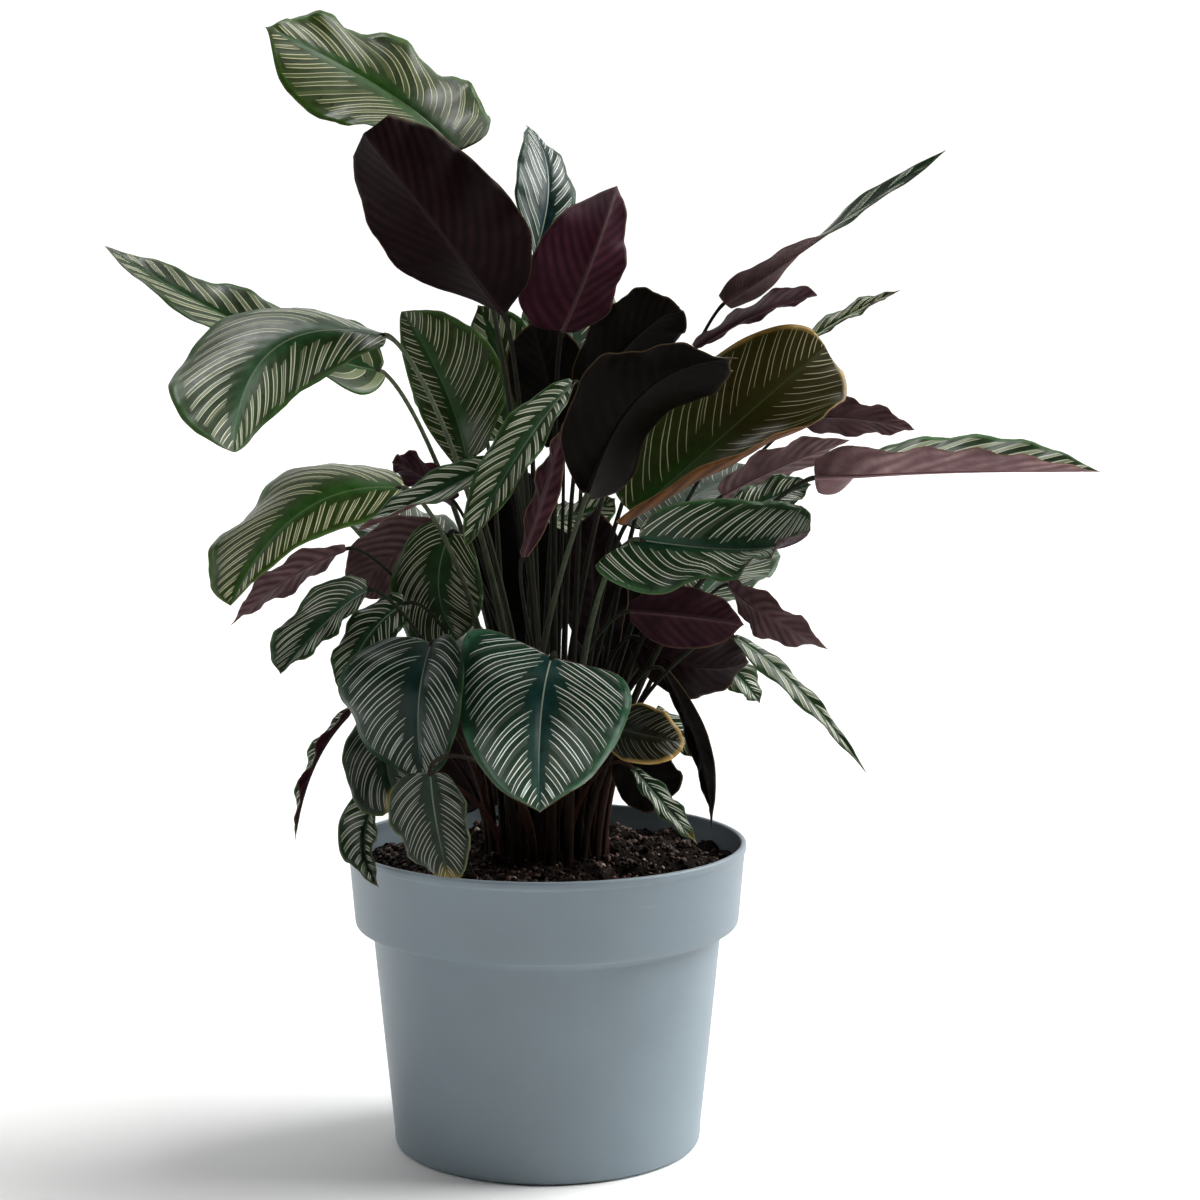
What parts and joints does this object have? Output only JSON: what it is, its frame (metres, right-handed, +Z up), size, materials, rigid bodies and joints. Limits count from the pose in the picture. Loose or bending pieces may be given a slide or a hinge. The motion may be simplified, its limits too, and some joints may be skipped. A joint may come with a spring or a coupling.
{
  "type": "potted calathea",
  "caption": "Pin-stripe calathea with broad waved leaves on slender stalks, growing in a filled round plastic nursery pot with a collar.",
  "frame": {"origin": "centre of the pot's flat base, on the ground", "axes": "+Z up along the pot's axis; the plant's front, as usually viewed, faces -Y; +X is to the right of that view"},
  "size_m": [0.589, 0.382, 0.6813],
  "materials": {
    "pot": "satin",
    "soil": "matte",
    "leaf": "satin"
  },
  "bodies": {
    "root": {"pot": "pot", "soil": "soil", "leaf_crown_left": "leaf", "leaf_crown_dark": "leaf", "leaf_crown_pale": "leaf", "leaf_crown_plum": "leaf", "leaf_crown_black": "leaf", "leaf_centre_dark": "leaf", "leaf_right_olive": "leaf", "leaf_spear_top": "leaf", "leaf_spear_plum": "leaf", "leaf_right_sliver": "leaf", "leaf_right_tongue": "leaf", "leaf_right_long": "leaf", "leaf_right_mauve": "leaf", "leaf_right_shadow": "leaf", "leaf_front_right": "leaf", "leaf_right_plum_inner": "leaf", "leaf_right_plum_outer": "leaf", "leaf_right_hanging": "leaf", "leaf_right_small": "leaf", "leaf_right_black": "leaf", "leaf_right_drooping": "leaf", "leaf_right_tiny": "leaf", "leaf_low_right_round": "leaf", "leaf_low_right_black": "leaf", "leaf_low_right_narrow": "leaf", "leaf_front_centre": "leaf", "leaf_front_left": "leaf", "leaf_front_left_lower": "leaf", "leaf_rim_left": "leaf", "leaf_rim_crumpled": "leaf", "leaf_left_hanging": "leaf", "leaf_left_narrow": "leaf", "leaf_left_plum": "leaf", "leaf_left_large": "leaf", "leaf_arched_left": "leaf", "leaf_long_left": "leaf", "leaf_upright_left": "leaf", "leaf_upright_pale": "leaf", "leaf_slanting_centre": "leaf", "leaf_rolled_young": "leaf", "leaf_pale_centre": "leaf", "leaf_inner_left": "leaf", "leaf_mauve_left": "leaf", "leaf_edge_left": "leaf", "leaf_shadow_left": "leaf", "leaf_striped_left": "leaf", "leaf_inner_black": "leaf", "leaf_back_crown_middle": "leaf", "leaf_back_crown_right": "leaf", "leaf_back_crown_left": "leaf", "leaf_back_right_high": "leaf", "leaf_back_right_low": "leaf", "leaf_back_left_high": "leaf", "leaf_back_left_low": "leaf", "leaf_back_low_right": "leaf", "leaf_back_middle": "leaf", "leaf_back_low_left": "leaf", "leaf_back_inner_right": "leaf"}
  },
  "joints": []
}
